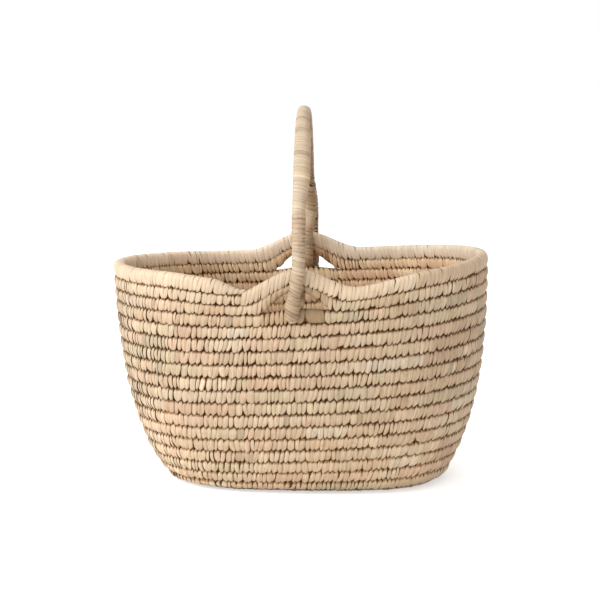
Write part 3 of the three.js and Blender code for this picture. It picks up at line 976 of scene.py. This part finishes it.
class Bundle:
    """A wrapped bundle along a path in the plane of the hoop, with half sizes along it."""

    def __init__(self, centres, half_wide, half_deep, samples=900, rounding=(0, 0)):
        centres = np.array(centres, float)
        runs = lengths_along(centres)
        self.length = float(runs[-1])
        self.run = np.linspace(0, self.length, samples)
        self.centre = look_up(self.run, runs, centres)
        kernel = np.ones(2 * SMOOTH + 1) / (2 * SMOOTH + 1)
        smooth = [np.convolve(column, kernel, "valid") for column in self.centre.T]
        self.centre[SMOOTH:-SMOOTH] = stack(*smooth)
        along = np.gradient(self.centre, axis=0)
        along[:, 0] = 0
        along /= np.linalg.norm(along, axis=1)[:, None]
        self.outward = stack(0, along[:, 2], -along[:, 1])
        full = np.ones(samples)
        for radius, distance in zip(rounding, (self.run, self.length - self.run)):
            if radius:
                full *= np.sqrt(1 - np.clip(1 - distance / radius, 0, 0.995) ** 2)
        self.wide = np.interp(self.run, runs, half_wide) * full
        self.deep = np.interp(self.run, runs, half_deep) * full

    def place(self, run, angle, proud):
        centre, outward, wide, deep = (
            look_up(run, self.run, table) for table in (self.centre, self.outward, self.wide, self.deep)
        )
        proud = proud * np.minimum(1, wide / FULL_RELIEF)
        centre = centre + outward * ((deep + proud) * np.sin(angle))[..., None]
        centre[..., 0] += (wide + proud) * np.cos(angle)
        return centre


# The handle's feet, by the run from its ends: how much more the strips slant there, how much
# stronger the shade painted at their edges is, and their browner tone, which far up the back leg is painted
# shade
FRONT_FOOT = (30, 62)
FRONT_BROWN = (28, 66)
BACK_FOOT = (130, 190)
FOOT_LEAN = 1.8
FOOT_EDGE = 0.7
FOOT_TONE = np.array([0.82, 0.76, 0.68])
# Painted light on the hoop's top, lighter and paler, by the run from its middle, and painted shade on the
# right flank
CAP = (14, 34)
CAP_LIGHT = np.array([1.04, 1.13, 1.2])
FLANK = (0.1, 0.8)
FLANK_SHADE = np.array([0.93, 0.87, 0.8])
# The width of the stitch holes, and how far the turns differ in tightness and in the shade painted at their
# edges
HOLE_WIDTH = 0.24
TIGHT_SPREAD = 0.1
EDGE_SPREAD = (0.2, 2.2)
WRAP_ROWS = 33


def away_from_feet(bundle, middles, front_foot):
    return np.minimum(ease(middles, *front_foot), ease(bundle.length - middles, *BACK_FOOT))


def wraps(bundle, builder, rng, style):
    """One leaf strip wound round the bundle, each turn a little over the last."""
    widths = stitch_widths(rng, bundle.length, style["width"], style["spread"])
    number = len(widths)
    middles = np.cumsum(widths) - widths / 2
    u = np.linspace(-1, 1, 6)
    turned = np.linspace(-0.5, 0.5, WRAP_ROWS)
    angle = np.linspace(0, 2 * np.pi, WRAP_ROWS) + np.pi / 2
    lean = style["slant"] * (1 + rng.normal(0, SLANT_SPREAD, number))
    reached = away_from_feet(bundle, middles, FRONT_FOOT) if style.get("feet") else 1
    lean = lean - FOOT_LEAN * (1 - reached)
    run = middles[:, None] + (widths * style["helix"])[:, None] * turned + lean[:, None] * np.cos(angle)
    cover = widths * rng.uniform(style["tight"], style["tight"] + TIGHT_SPREAD, number) / 2
    waist = 1 - style["waist"] * np.abs(np.cos(angle)) ** 8
    for seam in style["seams"]:
        aside = np.mod(angle - seam + np.pi, 2 * np.pi) - np.pi
        hole = np.exp(-((aside / HOLE_WIDTH) ** 2))
        waist = waist - style["holes"] * rng.uniform(0, 1, (number, 1)) * hole
    run = np.clip(run[:, :, None] + (cover[:, None] * waist)[:, :, None] * u, 0, bundle.length)
    bulge = style["bulge"] * (1 + rng.normal(0, BULGE_SPREAD, number))
    tilt = rng.normal(style["shingle"], style["lift"], number)
    lift = rng.normal(0, style["lift"], number)
    proud = bulge[:, None] * crown(u) + tilt[:, None] * u + lift[:, None] - style["inset"]
    places = np.broadcast_arrays(run, angle[:, None], proud[:, None, :])
    colours = tints_in_runs(rng, number, style)
    # Browner at the feet; far up the back leg this is painted shade on the far leg's inner side
    if style.get("feet"):
        browner = away_from_feet(bundle, middles, FRONT_BROWN)
        # Painted light: the hoop's top is lighter and paler
        top = 1 - ease(np.abs(middles - bundle.length / 2), *CAP)
        colours *= mix(FOOT_TONE, mix(1, CAP_LIGHT, top[:, None]), browner[:, None])
    edges = style["edge"] * (1 + FOOT_EDGE * (1 - reached)) * rng.uniform(*EDGE_SPREAD, number)
    # Painted shade at each turn's edges, where it tucks under the next
    shade = 1 - edges[:, None] * np.abs(u) ** 4
    # Painted shade: the right flank is browner
    flank = mix(1, FLANK_SHADE, ease(np.cos(angle), *FLANK)[:, None])
    tint = colours[:, None, None, :] * shade[:, None, :, None] * flank[:, None, :]
    builder.grids(bundle.place(*places), tint, strip_places(rng, widths, u, angle * STEM_SPREAD))


# The handle's cores: their gap at the ends and how far they lie inside
BUNDLE_CORE_GAP = 0.2
BUNDLE_CORE_IN = 0.9


def bundle_core(bundle, builder):
    """The grass core, closed at both ends."""
    runs, sizes = core_runs(bundle.length, BUNDLE_CORE_GAP, max(12, int(bundle.length / 3)))
    angles = ring(16)
    wide = np.interp(runs, bundle.run, bundle.wide)[:, None]
    places = np.broadcast_arrays(runs[:, None], angles, -wide * (1 - sizes) - BUNDLE_CORE_IN)
    builder.core(bundle.place(*places), angles, runs)


HANDLE_STYLE = {
    "width": 3.9, "spread": 0.2, "helix": -1.0, "slant": -0.8, "tight": 0.99, "waist": 0.0,
    "seams": (0.75, 2.75), "holes": 0.7, "bulge": 0.24, "lift": 0.07, "shingle": 0.12, "inset": 0.05,
    "edge": 0.2, "tints": PALE_TINTS, "weights": PALE_WEIGHTS, "run": (1, 4), "tone": 0.03, "odd": 0.05,
}
# The return strands and the back binding are dimmer as painted shade
SHADED_STRAND_TINTS = LEAF_TINTS * srgb((226, 220, 212))
STRAND_STYLE = HANDLE_STYLE | {"tints": SHADED_STRAND_TINTS, "weights": LEAF_WEIGHTS, "bulge": 0.3, "inset": -0.35}
BINDING_STYLE = STRAND_STYLE | {"waist": 0.1, "inset": 0.3}
FRONT_BINDING = BINDING_STYLE | {"tints": PALE_TINTS * (0.95, 0.9, 0.86), "weights": PALE_WEIGHTS}
BACK_BINDING = BINDING_STYLE | {"edge": 0.5, "holes": 1.0, "spread": 0.35, "odd": 0.25}
FOOT_STYLE = HANDLE_STYLE | {
    "width": 2.8, "slant": -2.2, "holes": 1.0, "odd": 0.3, "tints": PALE_TINTS * FOOT_TONE,
}

# The handle's ends narrow to a tongue: the share of the drop under the hinge, and the size there
TONGUE = ((1.0, 0.55), (0.93, 0.85), (0.8, 1.02), (0.66, 1.0))
MORE_WIDTH = 0.25


def straight(slot, low, high):
    return [(leg_centre(slot, z), 1, 0) for z in np.linspace(low, high, 12)]


def tongue(slot):
    return [(leg_centre(slot, slot["pivot"] - TONGUE_DROP * drop), size, 0) for drop, size in TONGUE]


def handle_bundle():
    builder = Builder()
    places = tongue(front) + straight(front, front["pivot"], HOOP_FOOT)[:-1]
    for angle in np.linspace(0, np.pi, 90):
        y = -HOOP_HALF * math.cos(angle)
        z = HOOP_FOOT + HOOP_RISE * math.sin(angle)
        slot = front if y < 0 else back
        places.append((np.array([handle_x(slot, z), y, z]), 1, fullness(slot, z) / 2))
    places += straight(back, HOOP_FOOT, back["pivot"])[1:] + tongue(back)[::-1]
    centres, sizes, fuller = zip(*places)
    half_wide = np.array(sizes) * LEG_WIDTH / 2 + MORE_WIDTH + np.array(fuller)
    half_deep = np.array(sizes) * LEG_DEPTH / 2
    bundle = Bundle(centres, half_wide, half_deep, samples=1800, rounding=(2, 2))
    wraps(bundle, builder, np.random.default_rng(400), HANDLE_STYLE | {"feet": True})
    bundle_core(bundle, builder)
    builder.build("wrapped_", "handle_bundle", pale_leaf, "handle")


handle_bundle()

APART = LEG_DEPTH / 2 + TAIL_DEPTH / 2 + TOUCH
# Where the back strand spreads over the hinge: its rise and half length, how far it goes to the
# left, and how much wider it is
SPREAD_RISE = 57
SPREAD_HALF = 14
SPREAD_LEFT = 0.9
SPREAD_WIDE = 0.8


def return_strand(name, slot, seed):
    side = slot["side"]
    outer = leg_out(slot) - LEG_DEPTH / 2 - 2 * TOUCH - WRAP
    inner = slot["wall"] - HALF - INNER - TAIL_DEPTH / 2
    round_half = STRAND_DEPTH / 2
    places = [(HANDLE_X, outer, slot["pivot"], round_half, round_half)]
    for turned in np.linspace(0, 1, 9):
        angle = np.pi / 2 * turned
        y = inner + BEND - BEND * math.sin(angle)
        z = slot["pivot"] + BEND - BEND * math.cos(angle)
        half_wide = mix(round_half, STRAND_WIDTH / 2, turned)
        places.append((HANDLE_X, y, z, half_wide, mix(round_half, TAIL_DEPTH / 2, turned)))
    for rise in np.linspace(BEND + 3, TAIL_RISE, 26):
        z = slot["pivot"] + rise
        lean = float(ease(z, slot["arch"] + CROSS_CLEARANCE, slot["pivot"] + CROTCH_RISE))
        beside = behind_bundle(slot, z, APART)
        spread = float(hump(rise - SPREAD_RISE, SPREAD_HALF)) if slot is back else 0.0
        x = mix(HANDLE_X, beside[0], lean) - SPREAD_LEFT * spread
        y = mix(inner, side * beside[1], lean)
        half_wide = STRAND_WIDTH / 2 + SPREAD_WIDE * spread
        places.append((x, y, mix(z, beside[2], lean), half_wide, TAIL_DEPTH / 2))
    x, y, z, half_wide, half_deep = np.array(places).T
    bundle = Bundle(stack(x, side * y, z), half_wide, half_deep, rounding=(3, 4))
    builder = Builder()
    wraps(bundle, builder, np.random.default_rng(seed), STRAND_STYLE)
    bundle_core(bundle, builder)
    builder.build("wrapped_", name, wrap_leaf, "handle")


return_strand("front_strand", front, 410)
return_strand("back_strand", back, 411)

# The bindings: where they begin and end over the hinge, how far they stand off, how soon they
# close at their ends, and the waist between leg and tail
BINDING_LOW = CROTCH_RISE - 5
BINDING_HIGH = TAIL_RISE - 2
BINDING_OFF = 0.3
BINDING_END = 2.5
SLEEVE_WAIST = 0.1
SLEEVE_WAIST_HALF = 0.2


class Sleeve:
    """The stretch where the strand's tail is sewn to the leg: an outline round both."""

    def __init__(self, slot):
        levels = slot["pivot"] + np.linspace(BINDING_LOW, BINDING_HIGH, 25)
        self.length = BINDING_HIGH - BINDING_LOW
        self.run = levels - levels[0]
        self.legs = np.array([bundle_at(slot, z) for z in levels])
        self.tails = np.array([behind_bundle(slot, z, APART) for z in levels])

    def place(self, run, angle, proud):
        leg = look_up(run, self.run, self.legs)
        tail = look_up(run, self.run, self.tails)
        outward = leg - tail
        outward /= np.linalg.norm(outward, axis=-1)[..., None]
        on_leg = np.sin(angle) >= 0
        ends = np.clip(np.minimum(run, self.length - run) / BINDING_END, 0, 1)
        proud = proud + BINDING_OFF + ends
        wide = np.where(on_leg, LEG_WIDTH, STRAND_WIDTH) / 2 + proud
        deep = np.where(on_leg, LEG_DEPTH, TAIL_DEPTH) / 2 + proud
        waist = 1 - SLEEVE_WAIST * np.exp(-((np.sin(angle) / SLEEVE_WAIST_HALF) ** 2))
        middle = np.where(on_leg[..., None], leg, tail) + outward * (deep * np.sin(angle))[..., None]
        middle[..., 0] += wide * waist * np.cos(angle)
        return middle


def wound_piece(name, bundle, style, seed):
    builder = Builder()
    wraps(bundle, builder, np.random.default_rng(seed), style)
    builder.build("wound_", name, wrap_leaf, "handle")


wound_piece("front_binding", Sleeve(front), FRONT_BINDING, 420)
wound_piece("back_binding", Sleeve(back), BACK_BINDING, 421)

# The foot wraps: how far they go below and over the hinge, and their thickness
FOOT_BELOW = 11
FOOT_ABOVE = 9
FOOT_THICK = 1.1


def foot(slot):
    levels = np.linspace(slot["pivot"] - FOOT_BELOW, slot["pivot"] + FOOT_ABOVE, 14)
    spare = FOOT_THICK * np.sin(np.linspace(0.1, np.pi - 0.1, len(levels))) ** 0.4
    centres = [leg_centre(slot, z) for z in levels]
    return Bundle(centres, LEG_WIDTH / 2 + spare, LEG_DEPTH / 2 + spare, samples=60)


wound_piece("front_foot_wrap", foot(front), FOOT_STYLE, 430)
wound_piece("back_foot_wrap", foot(back), FOOT_STYLE, 431)

# The floor, the light and the world

FLOOR_GLOW = 0.5
WORLD_LIGHT = 0.56
WORLD_SEEN = 1.0
AIM = Vector((0, 0, 0.15))
WARM = (1.0, 0.99, 0.97)
COOL = (0.97, 1.0, 1.04)
# Name, place, size, power and colour
LAMPS = (
    ("key", (-2.4, -1.0, 1.5), 1.4, 59, COOL),
    ("low", (-0.6, -2.0, 0.22), 1.6, 20, WARM),
    ("fill", (2.0, -1.2, 1.2), 1.8, 2, WARM),
    ("top", (0.1, -0.3, 2.4), 1.6, 19, WARM),
)


def empty_tree(owner):
    """The cleared node tree of a world or the floor, and whether the camera sees it."""
    owner.use_nodes = True
    tree = owner.node_tree
    tree.nodes.clear()
    path = add_node(tree, "ShaderNodeLightPath", {}).outputs
    return tree, maths(tree, "MAXIMUM", path["Is Camera Ray"], path["Is Glossy Ray"])


def stage():
    mesh = bpy.data.meshes.new("floor")
    half = 12
    mesh.from_pydata([(-half, -half, 0), (half, -half, 0), (half, half, 0), (-half, half, 0)], [], [range(4)])
    add_object("floor", mesh)
    material = bpy.data.materials.new("floor")
    tree, seen = empty_tree(material)
    diffuse = add_node(tree, "ShaderNodeBsdfDiffuse", {"Color": (0.92, 0.92, 0.92, 1)})
    glow = add_node(tree, "ShaderNodeEmission", {"Strength": maths(tree, "MULTIPLY", seen, FLOOR_GLOW)})
    both = add_node(tree, "ShaderNodeAddShader", {0: diffuse.outputs[0], 1: glow.outputs[0]})
    add_node(tree, "ShaderNodeOutputMaterial", {"Surface": both.outputs[0]})
    mesh.materials.append(material)


def lights():
    world = bpy.data.worlds.new("studio")
    bpy.context.scene.world = world
    tree, seen = empty_tree(world)
    strength = span(tree, seen, 0, 1, WORLD_LIGHT, WORLD_SEEN)
    background = add_node(tree, "ShaderNodeBackground", {"Color": (1, 1, 1, 1), "Strength": strength})
    add_node(tree, "ShaderNodeOutputWorld", {"Surface": background.outputs[0]})
    for name, place, size, power, colour in LAMPS:
        data = bpy.data.lights.new(name, "AREA")
        data.energy, data.size, data.color = power, size, colour
        lamp = add_object(name, data)
        lamp.location = place
        lamp.rotation_euler = (AIM - Vector(place)).to_track_quat("-Z", "Y").to_euler()


stage()
lights()
